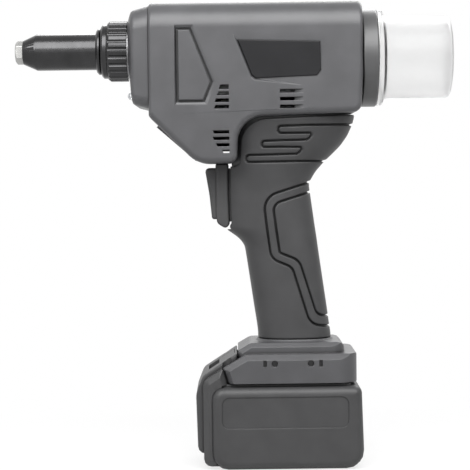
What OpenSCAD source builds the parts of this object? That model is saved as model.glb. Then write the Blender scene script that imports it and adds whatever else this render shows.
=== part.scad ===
// Cordless blind rivet tool with a pistol grip, a slide-on battery and a mandrel bottle.
// Nose along -X, up is +Z, the shells split at Y = 0, the battery stands on Z = 0.

/* [Housing] */
// Half width of the barrel
body_half = 35; // [34:0.5:37]
// Height of the barrel's top
body_top = 315; // [313:0.5:317]
// Front face of the barrel
body_front = -58; // [-59:0.5:-57]
// Rear face of the barrel
body_rear = 85.5; // [85:0.5:87]
// Radius of the shoulders along the top
shoulder_r = 18.5; // [14:0.5:22]
// Rounding of the lower edges
belly_edge_r = 4; // [3:0.5:5]
// Rounding of the front and rear edges
end_edge_r = 3; // [2:0.5:4]
// Wall thickness of the shells
wall = 3; // [2.4:0.1:3.4]

/* [Handle] */
// Thickness of the soft skin
skin = 2.5; // [2:0.1:3]
// Wall of the handle's core under the skin
core_wall = 2.6; // [2.2:0.1:3]
// Depth of the grooves in the skin
groove_depth = 1.8; // [1:0.1:1.9]
// Width of the grooves in the skin
groove_w = 1.3; // [1.2:0.1:2]
// Fullness of the handle's section, 2 is an ellipse
handle_power = 2.6; // [2.2:0.1:3]

/* [Nose] */
// Height of the spindle axis
spindle_z = 284; // [283:0.5:285]
// Tip of the nosepiece
nose_tip = -150.2; // [-152:0.2:-148]
// Hexagon of the nosepiece across flats
hex_af = 14; // [12:0.5:15]
// Radius of the bore for the rivet's mandrel
mandrel_r = 1.6; // [1.2:0.1:2]
// Outer radius of the sleeve
sleeve_r = 12.4; // [12:0.1:13]
// Outer radius of the fluted nut
nose_nut_r = 20.6; // [19:0.2:22]
// Flutes around the nut
flute_count = 24; // [16:2:30]

/* [Drive] */
// Module of the spur train
spur_module = 1.25; // [1.25:0.25:1.25]
// Teeth of the ball nut's gear
nut_teeth = 34; // [34:1:34]
// Teeth of the idler
idler_teeth = 15; // [15:1:15]
// Teeth of the pinion on the carrier
pinion_teeth = 14; // [14:1:14]
// Module of the planetary stage
planet_module = 0.8; // [0.8:0.1:0.8]
// Teeth of the sun
sun_teeth = 12; // [12:3:12]
// Teeth of each planet
planet_teeth = 12; // [12:3:12]
// Pressure angle of every gear
pressure_angle = 25; // [22:1:27]
// Backlash on each tooth
backlash = 0.22; // [0.15:0.01:0.3]
// Radius of the pull spindle
spindle_r = 8.92; // [8.9:0.01:8.95]
// Radius of the motor
motor_r = 18; // [16:0.5:19]

/* [Collector] */
// Height of the bottle's axis
bottle_z = 277.4; // [276:0.2:279]
// Radius of the bottle
bottle_r = 27.7; // [25:0.1:29]
// Closed end of the bottle
bottle_end = 150.2; // [140:0.2:155]
// Radius of the ring and of the bottle's flange
ring_r = 33.4; // [32:0.2:34]

/* [Trigger] */
// Half width of the trigger's skirt
skirt_half = 11; // [9:0.5:11.5]

/* [Battery] */
// Half width of the pack
pack_half = 37.5; // [36:0.5:38]
// Rear face of the pack
pack_rear = 84; // [81:0.5:86]
// Top of the pack's shoulder
pack_top = 56; // [55:0.5:56.5]
// Half width of the foot and of the pack's second step
foot_half = 34; // [33:0.5:35]
// Half width of the flange and of the pack's front step
flange_half = 27; // [26:0.5:28]
// Radius of one cell
cell_r = 9.1; // [9:0.05:9.2]
// Length of one cell
cell_l = 65; // [64:0.5:66]

/* [Hidden] */
$fn = 48;

// Axes of the drive, stacked straight below the spindle
nut_pitch_r = spur_module * nut_teeth / 2;
idler_pitch_r = spur_module * idler_teeth / 2;
pinion_pitch_r = spur_module * pinion_teeth / 2;
idler_z = spindle_z - nut_pitch_r - idler_pitch_r;
motor_z = idler_z - idler_pitch_r - pinion_pitch_r;
ring_teeth = sun_teeth + 2 * planet_teeth;
orbit_r = planet_module * (sun_teeth + planet_teeth) / 2;
gear_front = -38;
gear_rear = -30;
lug_front = -45;
lug_rear = -24;
planet_front = -21.5;
planet_rear = -15.5;
motor_front = -13;
motor_rear = 44;

// Clearances
running = 0.05;
slip = 0.3;
big = 400;
// Forms of one half run past the split before they are cut there, each by its own amount
function past(i) = 2 + 0.4 * i;
// The barrel's section stands this much proud of its flat sides
barrel_half = body_half + 0.03;

// Outline of the barrel and belly seen from the side, as corners with radii
belly_low = 206.2;
belly_corners = [[-26, belly_low, 18], [0.6, belly_low, 5.5], [1.8, 236.9, 17], [84, 239.4, 6]];
front_corner = [-58.8, 238.7, 10];
body_corners = concat(belly_corners, [[body_rear, body_top, 5], [body_front, body_top, 5], front_corner]);
// The same lower edge, run out past the ends and the top that the end form shapes
lower_corners = concat(belly_corners, [[90, 335, 6], [-66, 335, 6], front_corner]);

// Handle sections from the bottom up: height, front edge, back edge, half width
handle_rows = [[83, 13.6, 64, 20.9], [88.5, 13.7, 63.6, 20.4], [92, 13.5, 63.2, 20.1], [96, 13, 62.6, 19.9],
    [110, 10.9, 60.8, 19.4], [125, 8.8, 58.7, 19], [141, 6.5, 56.5, 18.8], [150, 5.1, 55.3, 18.8],
    [154.9, 1.4, 54.7, 18.9], [159.1, -4.3, 54.1, 19], [161.6, -8.2, 53.7, 19.1], [170, -8.6, 52.6, 19.2],
    [187, -8.9, 50.3, 19.6], [192, -8.9, 49.7, 20], [199.7, -9, 54.2, 21.2], [206.9, -9, 60.6, 22.8],
    [211.3, -9, 65.4, 24.2], [217.4, -9, 71.6, 26], [224.2, -9, 76.5, 27.8], [231, -9, 79.6, 29.2],
    [236, -9, 81.2, 30], [240.5, -9, 81.6, 30.4], [246, -9, 81.8, 30.6]];
// Root of the handle on the foot, below the skin, as sections of the same kind
root_rows = [[80, 8.6, 68.4, 26], [84.2, 11.4, 66, 23.4], [85, 12.5, 65, 22.1], [86.2, 13.2, 64.3, 21.2]];
skin_low = 86.4;
core_rows = [0, 2, 4, 6, 7, 8, 10, 12, 13, 15, 17, 19, 22];
// Upper edge of the skin, along the groove under the barrel
grip_edge = [[-14, 203.6, 0], [2.2, 204.4, 4], [3.6, 235.2, 17], [32, 236, 20], [79, 238.2, 0], [95, 238.2, 0]];
// Front edge of the skin, along the gap behind the trigger
trigger_top = belly_low - 0.4;
skirt_top = belly_low + 0.4;
trigger_gap = [[-30, trigger_top], [-30, 158], [-6.9, 161.2], [-4.4, 164.5], [-4, 167.5], [-4.7, 184.9],
    [-4.4, trigger_top]];

// Grooves in the skin: a serpentine under the barrel and a band down the back
serpentine = [[95, 231.9, 0], [28.2, 230.8, 2.2], [28.2, 226, 2.2], [52.6, 226, 1.2], [48.2, 221.5, 2.6],
    [17.2, 220.9, 1.8], [17.2, 216.9, 1.8], [46, 216.6, 1.2], [41.4, 212, 2.6], [6.4, 211.6, 2.1],
    [6.4, 207, 2.1], [95, 207.3, 0]];
band_outer = [[75, 200.6, 0], [17.8, 182.9, 11.6], [22.8, 141.2, 8.5], [37.2, 135.2, 7], [49.1, 96.4, 10],
    [80, 91, 0]];
band_inner = [[75, 193.6, 0], [24.5, 178.3, 6.3], [28.7, 145.2, 1.6], [42.2, 139.8, 10], [53.8, 102.7, 6],
    [80, 97.5, 0]];

// Features of the barrel's sides
panel_corners = [[-21.4, 248.4], [-16.5, 260.6], [-30.2, 295.2], [-38, 295.2], [-38, 248.4]];
panel_rim = [[-19.1, 244.8], [-12.6, 260.3], [-27.6, 298.6], [-40, 298.6], [-40.4, 244.8]];
panel_bevel = 1.4;
panel_depth = 2.4;
plate_corners = [[13.9, 262.6], [54.5, 264.1], [57.2, 267.4], [56.8, 286.6], [2, 288.3], [11.3, 264.6]];
plate_rim = [[12.6, 261.2], [60.2, 258], [63.2, 261.4], [63.2, 292.3], [-1.4, 292.3], [10, 263.6]];
plate_depth = 1.6;
// Strip on the slope under the nose
strip_half = 12;
strip_corners = [[-53.8, 231.4], [-27.6, 208.3], [-25.8, 210.1], [-51.4, 233.8]];
// Vent rows: left end, lower edge, upper edge
vent_a = [[-10.9, 255.6, 258.5], [-12.3, 251.5, 253.9], [-13.9, 246.9, 249.3], [-14.3, 242.6, 245]];
vent_b = [[-14.5, 226, 228.1], [-14.5, 221.7, 223.8], [-12.4, 217.4, 219.5], [-8.4, 213.1, 215.1]];
vent_c = [[29.7, 252.6, 255], [29.7, 247.4, 249.8], [29.7, 242.3, 244.6]];
vent_front_end = -4.4;
vent_rear_end = 39.4;
// Ramp beside the rear vents
vent_ramp_end = 45.4;
vent_ramp_depth = 2.2;
// Screws through the shells: X, Z and depth of the boss
screw_places = [[0, 301.5, 32], [74, 301.5, 32], [74, 249, 32.4], [-51.8, 243.5, 32.4], [-14, 211.5, 32.4],
    [55, 226.5, 20.5], [46, 128, 12.6]];
boss_r = 4;

// Foot and pack
foot_low = 58;
foot_top = 77.4;
foot_rear = 80;
flange_top = 84.6;
flange_rear = 72;
foot_corners = [[-5.4, 52, 3], [foot_rear, 52, 3], [foot_rear, foot_top, 1.5], [4.8, foot_top, 5],
    [-10.7, 68.4, 0.6]];
flange_corners = [[-0.4, 66, 3], [flange_rear, 66, 3], [flange_rear, flange_top, 5], [8.2, flange_top, 7],
    [-0.4, 79.6, 0.6]];
hook_hole_x = [24.1, 48.4];
hook_slot_x = [17.6, 55.1];
hook_z = 71.4;
hook_hole_r = 2.2;
hook_slot_half = 2.2;
pack_corners = [[-18.6, 0, 11], [pack_rear, 0, 12], [pack_rear - 1.6, pack_top, 5], [-18.6, pack_top, 8]];
step_corners = [[-24.2, 2, 5], [10.4, 2, 4], [-11.1, 68, 0.6], [-24.2, 59.5, 6]];
nose_corners = [[-28.2, 10, 5], [-1, 10, 4], [-1, 78.1, 0.6], [-24.4, 63, 7], [-29.2, 51, 14]];
pack_edge_r = 6;
step_chamfer = 3.7;
nose_edge_r = 1.4;
pack_floor = 3;
rail_half = 25.4;
tower_rear = 61;

// Fits shared by several pieces
jaw_bore_r = 10.9;
neck_r = 16.5;
frame_r = 26.5;
chamber_r = 23.2;
bearing_r = 19;
journal_r = 13;
led_r = 2.6;
led_z = 253.3;
led_tip = -73.9;
neck_bore = 27.6;
screw_head_r = 3.2;
panel_gap = 1.3;
foot_chamfer = 3.7;
flange_chamfer = 2.8;
foot_roof = 74.2;
rail_top = 63;
rail_room = 67;
tower_top = 71;
pack_seam = 57.2;
lid_half = 30.8;
lid_front = -12;
lid_rear = 75;
lid_screws = [[-8, -27], [-8, 27], [70, -27], [70, 27]];
blade_y = [-14, 0, 14];
latch_x = -7.5;
latch_half = 11.8;
latch_floor = 64;
// Front cap: station, bottom, top and half width of each section of its dome
cap_rows = [[-73, 281, 299, 9], [-72.7, 276, 302, 14], [-72, 270, 304.6, 19], [-71.2, 264.5, 306.8, 23],
    [-70.4, 256, 308.6, 26], [-69.8, 249.5, 309.6, 28], [-68.8, 247, 310.2, 29.2], [-67, 245.8, 310.8, 30],
    [body_front, 243.4, 313.2, 32]];
// Nose, jaws and trigger
sleeve_front = nose_tip + 5.2;
jaw_front = -130.5;
jaw_rear = -116.5;
trigger_z = 185;
planet_dirs = [90, 210, 330];
idler_turn = mesh_turn(-90, 0, nut_teeth, idler_teeth);
pinion_turn = mesh_turn(-90, idler_turn, idler_teeth, pinion_teeth);
// Bottle and label field
bottle_wall = 1.3;
end_r = 4;
label_corners = [[-11.6, 28.4, 5], [73.3, 28.4, 5], [73.3, 49.4, 5], [-11.6, 49.4, 5]];
label_depth = 0.5;

// Plane geometry
function unit(v) = v / norm(v);
function xy(p) = [p[0], p[1]];
function wrap(i, n) = (i + n) % n;
function turn(a, b, c) = (b[0] - a[0]) * (c[1] - b[1]) - (b[1] - a[1]) * (c[0] - b[0]);
// Round one corner by a true arc, drawn with n chords
function corner(a, b, c, r, n) =
    r == 0 ? [b] :
    let (u = unit(a - b), v = unit(c - b), half = acos(u * v) / 2)
    let (mid = b + unit(u + v) * r / sin(half), p = b + u * r / tan(half), q = b + v * r / tan(half))
    let (a0 = atan2(p[1] - mid[1], p[0] - mid[0]), a1 = atan2(q[1] - mid[1], q[0] - mid[0]))
    let (sweep = (a1 - a0 + 900) % 360 - 180)
    [for (i = [0 : n]) mid + r * [cos(a0 + sweep * i / n), sin(a0 + sweep * i / n)]];
// Closed outline from corners with radii
function rounded(c, n = 6) =
    let (m = len(c))
    [for (i = [0 : m - 1]) each corner(xy(c[wrap(i - 1, m)]), xy(c[i]), xy(c[wrap(i + 1, m)]), c[i][2], n)];
// Open path from corners with radii
function path(c, n = 6) =
    let (m = len(c))
    [xy(c[0]), for (i = [1 : m - 2]) each corner(xy(c[i - 1]), xy(c[i]), xy(c[i + 1]), c[i][2], n), xy(c[m - 1])];
// Corners moved inwards by d, for an outline that runs anticlockwise
function inset(c, d) =
    let (m = len(c))
    [for (i = [0 : m - 1])
        let (a = xy(c[wrap(i - 1, m)]), b = xy(c[i]), e = xy(c[wrap(i + 1, m)]))
        let (u = unit(b - a), v = unit(e - b), n1 = [-u[1], u[0]], n2 = [-v[1], v[0]])
        let (p = b + (n1 + n2) * d / (1 + n1 * n2))
        [p[0], p[1], max(0.2, turn(a, b, e) > 0 ? c[i][2] - d : c[i][2] + d)]];
// Outline of a line with a width, square at its ends
function stroke(p, w) =
    let (m = len(p))
    let (t = [for (i = [0 : m - 1]) unit(p[min(i + 1, m - 1)] - p[max(i - 1, 0)])])
    concat([for (i = [0 : m - 1]) p[i] + [t[i][1], -t[i][0]] * w / 2],
        [for (i = [m - 1 : -1 : 0]) p[i] - [t[i][1], -t[i][0]] * w / 2]);
// Involute tooth flank, as radius and angle from the tooth's middle
function flank_angle(r, base, half) =
    let (a = r > base ? acos(base / r) : 0)
    half - (tan(a) * 180 / PI - a);
function gear_outline(teeth, m, add, ded, thin) =
    let (pitch = m * teeth / 2, base = pitch * cos(pressure_angle))
    let (root = pitch - ded * m, tip = pitch + add * m)
    let (half = (PI * m / 2 - thin) / pitch / 2 * 180 / PI + (tan(pressure_angle) * 180 / PI - pressure_angle))
    let (low = max(root, base), steps = [for (i = [0 : 3]) low + (tip - low) * i / 3])
    [for (k = [0 : teeth - 1]) let (mid = k * 360 / teeth)
        each concat(
            [[root, mid - flank_angle(low, base, half)]],
            [for (r = steps) [r, mid - flank_angle(r, base, half)]],
            [for (i = [3 : -1 : 0]) [steps[i], mid + flank_angle(steps[i], base, half)]],
            [[root, mid + flank_angle(low, base, half)]])];
function polar(p) = [for (q = p) q[0] * [cos(q[1]), sin(q[1])]];
function spur_outline(teeth, m) = polar(gear_outline(teeth, m, 0.75, 1, backlash));
function ring_space(teeth, m) = polar(gear_outline(teeth, m, 1, 0.75, -backlash));
// Turn that puts gear b in mesh with gear a, when b lies in direction dir from a
function mesh_turn(dir, turn_a, teeth_a, teeth_b) =
    let (place = (dir - turn_a) * teeth_a / 360)
    dir + 180 - (0.5 - place) * 360 / teeth_b;

// Solids from rings of points, all rings anticlockwise about the way they run
module loft(rings) {
    m = len(rings[0]);
    last = len(rings) - 1;
    sides = [for (k = [0 : last - 1], i = [0 : m - 1])
        let (a = k * m + i, b = k * m + wrap(i + 1, m))
        each [[a, a + m, b + m], [a, b + m, b]]];
    caps = [[for (i = [0 : m - 1]) i], [for (i = [m - 1 : -1 : 0]) last * m + i]];
    polyhedron([for (r = rings) each r], concat(sides, caps), convexity = 8);
}
// Side outline with its edges rounded by r, from Y = w to Y = -w
module pillow(c, w, r, n = 4, chords = 6) {
    edge = [for (i = [0 : n]) let (t = 90 * i / n) [w - r + r * sin(t), r - r * cos(t)]];
    steps = concat([for (i = [n : -1 : 0]) edge[i]], [for (e = edge) [-e[0], e[1]]]);
    loft([for (s = steps) [for (p = rounded(inset(c, s[1]), chords)) [p[0], s[0], p[1]]]]);
}
// The same, for the half on the shown side and a lip past the split
module half_pillow(c, w, r, run, n = 4, chords = 6) {
    edge = [for (i = [0 : n]) let (t = 90 * i / n) [w - r + r * sin(t), r - r * cos(t)]];
    steps = concat([[past(run), 0]], [for (e = edge) [-e[0], e[1]]]);
    loft([for (s = steps) [for (p = rounded(inset(c, s[1]), chords)) [p[0], s[0], p[1]]]]);
}
// Prism of a side outline between two depths
module side_prism(y0, y1) {
    translate([0, y1, 0]) rotate([90, 0, 0]) linear_extrude(y1 - y0) children();
}
// Frustum between two side outlines with as many corners
module side_taper(outer, y0, inner, y1) {
    loft([for (s = [[inner, y1], [outer, y0]]) [for (p = s[0]) [p[0], s[1], p[1]]]]);
}
// Prism of a cross section between two stations along X
module cross_prism(x0, x1) {
    translate([x0, 0, 0]) rotate([90, 0, 90]) linear_extrude(x1 - x0) children();
}
// Turned piece about an axis along X, from points of radius and station
module turned(points, z = spindle_z, y = 0, angle = 360) {
    translate([0, y, z]) rotate([0, 90, 0]) rotate_extrude(angle = angle, $fn = 96) polygon(points);
}
module rod(r, x0, x1, z = spindle_z, y = 0) {
    translate([x0, y, z]) rotate([0, 90, 0]) cylinder(r = r, h = x1 - x0, $fn = 64);
}
module tube(r, bore, x0, x1, z = spindle_z, y = 0) {
    turned([[bore, x0], [r, x0], [r, x1], [bore, x1]], z, y);
}
module cross_rod(r, x, z, y0, y1) {
    translate([x, y1, z]) rotate([90, 0, 0]) cylinder(r = r, h = y1 - y0, $fn = 32);
}
module block(x, y, z) {
    translate([x[0], y[0], z[0]]) cube([x[1] - x[0], y[1] - y[0], z[1] - z[0]]);
}
// Spring of round wire between two points of its axis
module coil(r, wire, turns, len) {
    per_turn = 10;
    steps = turns * per_turn;
    rise = (len - 2 * wire) / steps;
    loft([for (i = [0 : steps]) let (a = 360 * i / per_turn)
        [for (j = [0 : 5]) let (t = 60 * j)
            [(r + wire * cos(t)) * cos(a), (r + wire * cos(t)) * sin(a), wire + rise * i - wire * sin(t)]]]);
}

// Handle: half sections on the shown side, drawn in by d
function handle_ring(row, d, chords) =
    let (mid = (row[1] + row[2]) / 2, a = (row[2] - row[1]) / 2 - d, b = row[3] - d, e = 2 / handle_power)
    [[mid - a, past(5) + d, row[0]],
        for (i = [0 : chords]) let (c = -cos(180 * i / chords), s = sin(180 * i / chords))
            [mid + a * sign(c) * pow(abs(c), e), -b * pow(max(s, 0), e), row[0]],
        [mid + a, past(5) + d, row[0]]];
module handle_form(d) {
    loft([for (row = handle_rows) handle_ring(row, d, 18)]);
}
// The core under the skin, with fewer sections
module handle_core(d) {
    loft([for (i = core_rows) handle_ring(handle_rows[i], d, 10)]);
}
module handle_root() {
    loft([for (row = root_rows) handle_ring(row, 0, 10)]);
}
// Barrel: half cross section, drawn in by d
function barrel_corners(d) = [[-barrel_half + d, 190, 0], [past(1), 190, 0], [past(1), body_top - d, 0],
    [-barrel_half + d, body_top - d, shoulder_r - d]];
module body_form() {
    edge = [for (i = [0 : 3]) end_edge_r * [1 - cos(30 * i), 1 - sin(30 * i)]];
    front = [for (e = edge) [body_front + e[0], e[1]]];
    rear = [for (i = [3 : -1 : 0]) [body_rear - edge[i][0], edge[i][1]]];
    intersection() {
        half_pillow(lower_corners, body_half, belly_edge_r, 0);
        loft([for (s = concat(front, rear)) [for (p = rounded(barrel_corners(s[1]), 8)) [s[0], p[0], p[1]]]]);
    }
}
module body_cavity() {
    intersection() {
        side_prism(-body_half + wall, past(4)) polygon(rounded(inset(body_corners, wall)));
        cross_prism(body_front + wall, body_rear - wall) polygon(rounded(barrel_corners(wall), 8));
    }
    // Front opening for the cap's spigot
    cross_prism(body_front - 1, body_front + wall + 1) polygon(rounded(spigot_corners(0)));
    rod(4.05, body_rear - 5, body_rear + 1);
}
function spigot_corners(d) = [[-29 + d, 246 + d, 6], [29 - d, 246 + d, 6], [29 - d, 309 - d, 13],
    [-29 + d, 309 - d, 13]];

// Foot: a channel for the pack's rails with a narrower flange on top
module foot_form() {
    intersection() {
        half_pillow(foot_corners, foot_half, foot_chamfer, 2, 1, 3);
        translate([0, 0, foot_low]) linear_extrude(30)
            polygon(rounded([[foot_rear, -foot_half, 14], [foot_rear, 5, 0], [-60, 5, 0], [-60, -foot_half, 0]]));
    }
    intersection() {
        half_pillow(flange_corners, flange_half, flange_chamfer, 3, 1, 3);
        translate([0, 0, foot_low]) linear_extrude(40)
            polygon(rounded([[flange_rear, -flange_half, 10], [flange_rear, 5, 0], [-60, 5, 0],
                [-60, -flange_half, 0]]));
    }
}
module foot_cavity() {
    // Channel open below and in front: wide for the rails, narrower above them and behind
    block([-20, tower_rear + 1], [-31, past(12)], [50, rail_room]);
    block([-20, tower_rear + 1], [-rail_half - 0.8, past(15)], [50.2, foot_roof]);
    block([-20, foot_rear - 3.5], [-23.4, past(16)], [50.4, foot_roof - 0.1]);
    // Room for the pack's front step
    block([-20, -0.7], [-flange_half - slip, past(13)], [51, 100]);
    // Cable way up into the handle
    block([24, 52], [-11, past(14)], [70, 95]);
}
module rails() {
    block([-2, 58], [-31.5, -rail_half - 0.5], [foot_low + 0.4, rail_top]);
}
// Raised strip along the slope under the nose
module front_strip() {
    side_prism(-strip_half, past(22)) polygon(strip_corners);
}
module slot_row(rows, end, slant) {
    for (r = rows) side_prism(-big, big) polygon([[r[0], r[1]], [end, r[1]], [end, r[2]], [r[0] + slant, r[2]]]);
}
module vents() {
    slot_row(vent_a, vent_front_end, 0.9);
    slot_row(vent_b, vent_front_end, -0.9);
    slot_row(vent_c, vent_rear_end, 0);
    for (r = vent_c) translate([0, -body_half, r[1]]) linear_extrude(r[2] - r[1])
        polygon([[vent_rear_end - 0.5, -1], [vent_ramp_end, -1], [vent_ramp_end, 0],
            [vent_rear_end - 0.5, vent_ramp_depth]]);
}
module trigger_room() {
    side_prism(-big, big) polygon(trigger_gap);
    block([-30, 6.5], [-skirt_half - slip, skirt_half + slip], [160.8, skirt_top + 0.5]);
}
function plain(c) = [for (p = c) [p[0], p[1], 0]];
function grown(c, d) = [for (p = inset(plain(c), -d)) xy(p)];
// Recess that slopes in from its rim to the outline of an inlay
module recess(rim, base, depth) {
    mouth = [for (i = [0 : len(rim) - 1]) rim[i] + (rim[i] - base[i]) / depth];
    side_taper(mouth, -body_half - 1, base, -body_half + depth);
}
module panel_recess() {
    recess(panel_rim, grown(panel_corners, panel_gap - 0.1), panel_bevel);
    side_prism(-body_half - 0.5, -body_half + panel_depth) polygon(grown(panel_corners, panel_gap));
}
// One half shell, on the shown side
module shell() {
    intersection() {
        difference() {
            union() {
                difference() {
                    union() {
                        body_form();
                        handle_core(skin);
                        handle_root();
                        foot_form();
                    }
                    body_cavity();
                    intersection() {
                        handle_core(skin + core_wall);
                        block([-big, big], [-big, big], [92.6, 245]);
                    }
                    foot_cavity();
                }
                rails();
                front_strip();
                for (p = screw_places) cross_rod(boss_r, p[0], p[1], -p[2], past(20));
                // Guides for the block on the spindle's rear end
                for (z = [-8.4, 6.4]) block([2, 45], [-body_half + 2, -14], [spindle_z + z, spindle_z + z + 2]);
                // Cradle under the motor
                block([-9.2, -3.8], [-body_half + 2, past(21)], [belly_low + 2, motor_z - motor_r + 4]);
            }
            vents();
            trigger_room();
            rod(motor_r + slip, lug_rear - 4, motor_rear + 5, motor_z);
            panel_recess();
            for (x = hook_hole_x) cross_rod(hook_hole_r, x, hook_z, -foot_half - 1, -foot_half + 2.6);
            for (x = hook_slot_x)
                block([x - 1.1, x + 1.1], [-foot_half - 1, -foot_half + 2.2],
                    [hook_z - hook_slot_half, hook_z + hook_slot_half]);
        }
        block([-big, big], [-big, 0], [-big, big]);
    }
}
module left_housing() {
    color("dimgray") difference() {
        shell();
        recess(plate_rim, grown(plate_corners, 0.15), plate_depth);
        for (p = screw_places) cross_rod(1.5, p[0], p[1], -p[2] + 3, 1);
    }
}
module right_housing() {
    color("dimgray") mirror([0, 1, 0]) difference() {
        shell();
        for (p = screw_places) {
            cross_rod(1.9, p[0], p[1], -p[2] - 1, 1);
            cross_rod(screw_head_r + slip, p[0], p[1], -big, -screw_seat(p));
        }
    }
}
function screw_seat(p) = min(p[2] - 4, 24);
module housing_screws() {
    color("black") for (p = screw_places) {
        cross_rod(screw_head_r, p[0], p[1], screw_seat(p), screw_seat(p) + 2.4);
        cross_rod(1.5, p[0], p[1], -p[2] + 3.5, screw_seat(p) + 1);
    }
}

// Soft skin over the handle, with its grooves
module grip() {
    difference() {
        intersection() {
            handle_form(0);
            side_prism(-big, 0) polygon(concat([[-14, skin_low], [95, skin_low]], reversed(path(grip_edge))));
        }
        handle_core(skin - running);
        trigger_room();
        difference() {
            side_prism(-big, big) {
                polygon(stroke(path(serpentine), groove_w));
                polygon(stroke(path(band_outer), groove_w));
                polygon(stroke(path(band_inner), groove_w));
            }
            handle_form(groove_depth);
        }
    }
}
function reversed(p) = [for (i = [len(p) - 1 : -1 : 0]) p[i]];
module left_grip() { color([0.3, 0.3, 0.31]) grip(); }
module right_grip() {
    color([0.3, 0.3, 0.31]) mirror([0, 1, 0]) difference() {
        grip();
        for (p = [screw_places[5], screw_places[6]]) cross_rod(screw_head_r + slip, p[0], p[1], -big, 0);
    }
}

// Inlays
module inlay(c, low, high, bevel) {
    side_taper(grown(c, -bevel), -body_half + high, c, -body_half + high + bevel);
    side_prism(-body_half + high + bevel, -body_half + low) polygon(c);
}
module left_side_panel() { color("gray") inlay(panel_corners, panel_depth, 0.2, 0.6); }
module right_side_panel() { color("gray") mirror([0, 1, 0]) inlay(panel_corners, panel_depth, 0.2, 0.6); }
module name_plate() { color("black") inlay(plate_corners, plate_depth, 0.7, 0.2); }

// Front cap, a dome of like sections that grow to the rear, drawn in by d
function cap_ring(row, d) =
    let (h = row[3] - d, low = row[1] + d, high = row[2] - d)
    [for (p = rounded([[-h, low, h / 4], [h, low, h / 4], [h, high, h / 2], [-h, high, h / 2]], 5))
        [row[0] + d, p[0], p[1]]];
module cap_form(d) {
    loft([for (row = cap_rows) cap_ring(row, d)]);
}
module front_cap() {
    color("dimgray") difference() {
        union() {
            cap_form(0);
            cross_prism(body_front - 0.5, body_front + 3) polygon(rounded(spigot_corners(0.15)));
        }
        intersection() {
            cap_form(3);
            block([-big, body_front], [-big, big], [-big, big]);
        }
        cross_prism(body_front - 0.6, body_front + 4) polygon(rounded(spigot_corners(2.4)));
        rod(neck_r + 0.2, -80, -60);
        rod(led_r + running, -80, -60, led_z);
    }
}
module work_light() {
    color([0.9, 0.95, 1, 0.6]) turned(concat([[0, -62], [0, led_tip]],
        [for (a = [10 : 10 : 90]) [led_r * sin(a), led_tip + led_r * (1 - cos(a))]],
        [[led_r, -64], [3, -64], [3, -62]]), led_z);
}

// Nose
module nosepiece() {
    color("silver") difference() {
        union() {
            intersection() {
                translate([nose_tip, 0, spindle_z]) rotate([0, 90, 0])
                    cylinder(r = hex_af / sqrt(3), h = 5.2, $fn = 6);
                turned([[0, nose_tip], [6.4, nose_tip], [8.4, nose_tip + 1.6], [8.4, nose_tip + 6],
                    [0, nose_tip + 6]]);
            }
            rod(5, nose_tip + 5, nose_tip + 15.6);
        }
        rod(mandrel_r, nose_tip - 1, nose_tip + 21);
    }
}
module nose_sleeve() {
    color([0.12, 0.12, 0.13]) turned([[5.05, sleeve_front], [8.1, sleeve_front], [sleeve_r, sleeve_front + 9.6],
        [sleeve_r, -80], [jaw_bore_r, -80], [jaw_bore_r, -135], [5.05, -135]]);
}
module sleeve_collar() {
    color([0.12, 0.12, 0.13]) turned([[sleeve_r + 0.02, -94.6], [14.2, -94.6], [15.8, -93.2], [15.8, -92],
        [14.6, -91.4], [17.2, -91], [18.5, -89.6], [18.5, -87], [sleeve_r + 0.02, -87]]);
}
module nose_nut() {
    color([0.14, 0.14, 0.15]) difference() {
        turned([[neck_r + running, -86.8], [19.2, -86.8], [nose_nut_r, -85], [nose_nut_r, -73.2],
            [neck_r + running, -73.2]]);
        for (i = [0 : flute_count - 1]) translate([0, 0, spindle_z]) rotate([360 / flute_count * i, 0, 0])
            translate([-90, 0, nose_nut_r + 0.5]) rotate([0, 90, 0]) cylinder(r = 1.4, h = 20, $fn = 16);
    }
}

// Pull mechanism
module drop_plate() {
    // From the spindle down past the idler to the motor's axis
    hull() {
        translate([0, spindle_z]) circle(r = 20);
        translate([0, idler_z]) circle(r = 10);
        translate([0, motor_z]) circle(r = 6);
    }
}
module gear_frame() {
    color("silver") difference() {
        union() {
            turned([[jaw_bore_r, -80], [jaw_bore_r, -56], [12, -56], [12, -50], [bearing_r, -50], [bearing_r, -41],
                [chamber_r, -41], [chamber_r, -27], [frame_r, -27], [frame_r, -54.6], [neck_r, -54.6],
                [neck_r, -87], [sleeve_r + 0.02, -87], [sleeve_r + 0.02, -80]]);
            difference() {
                cross_prism(lug_front, -41) drop_plate();
                rod(frame_r - 1, -50, -30);
            }
        }
        // The idler reaches the ball nut's gear through the lower wall
        block([-40.5, -20], [-14, 14], [spindle_z - 40, spindle_z - 17]);
        rod(3.02, -50, -30, idler_z);
        rod(3 + running, -50, -30, motor_z);
    }
}
module frame_cover() {
    color("silver") difference() {
        union() {
            turned([[12, -16], [12, -18], [bearing_r, -18], [bearing_r, -27], [frame_r, -27], [frame_r, -16]]);
            difference() {
                cross_prism(-27, lug_rear) union() {
                    drop_plate();
                    translate([0, motor_z]) circle(r = 18);
                }
                rod(frame_r - 1, -50, -10);
            }
            // Spine that ties the motor to the castings
            block([-25, motor_rear - 2], [-3, 3], [motor_z + motor_r + slip, motor_z + motor_r + 10]);
        }
        rod(3.02, -50, -10, idler_z);
        rod(4 + running, -50, -10, motor_z);
    }
}
module bearing(x0, x1) {
    color("gainsboro") turned([[journal_r + 0.02, x0], [bearing_r - 0.02, x0], [bearing_r - 0.02, x1],
        [journal_r + 0.02, x1]]);
}
module front_bearing() { bearing(-50, -41.2); }
module rear_bearing() { bearing(-26.8, -18); }
module spur(teeth, m, turn, x0, x1, z, y = 0) {
    translate([x0, y, z]) rotate([90, 0, 90]) linear_extrude(x1 - x0) rotate(turn) polygon(spur_outline(teeth, m));
}
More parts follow.
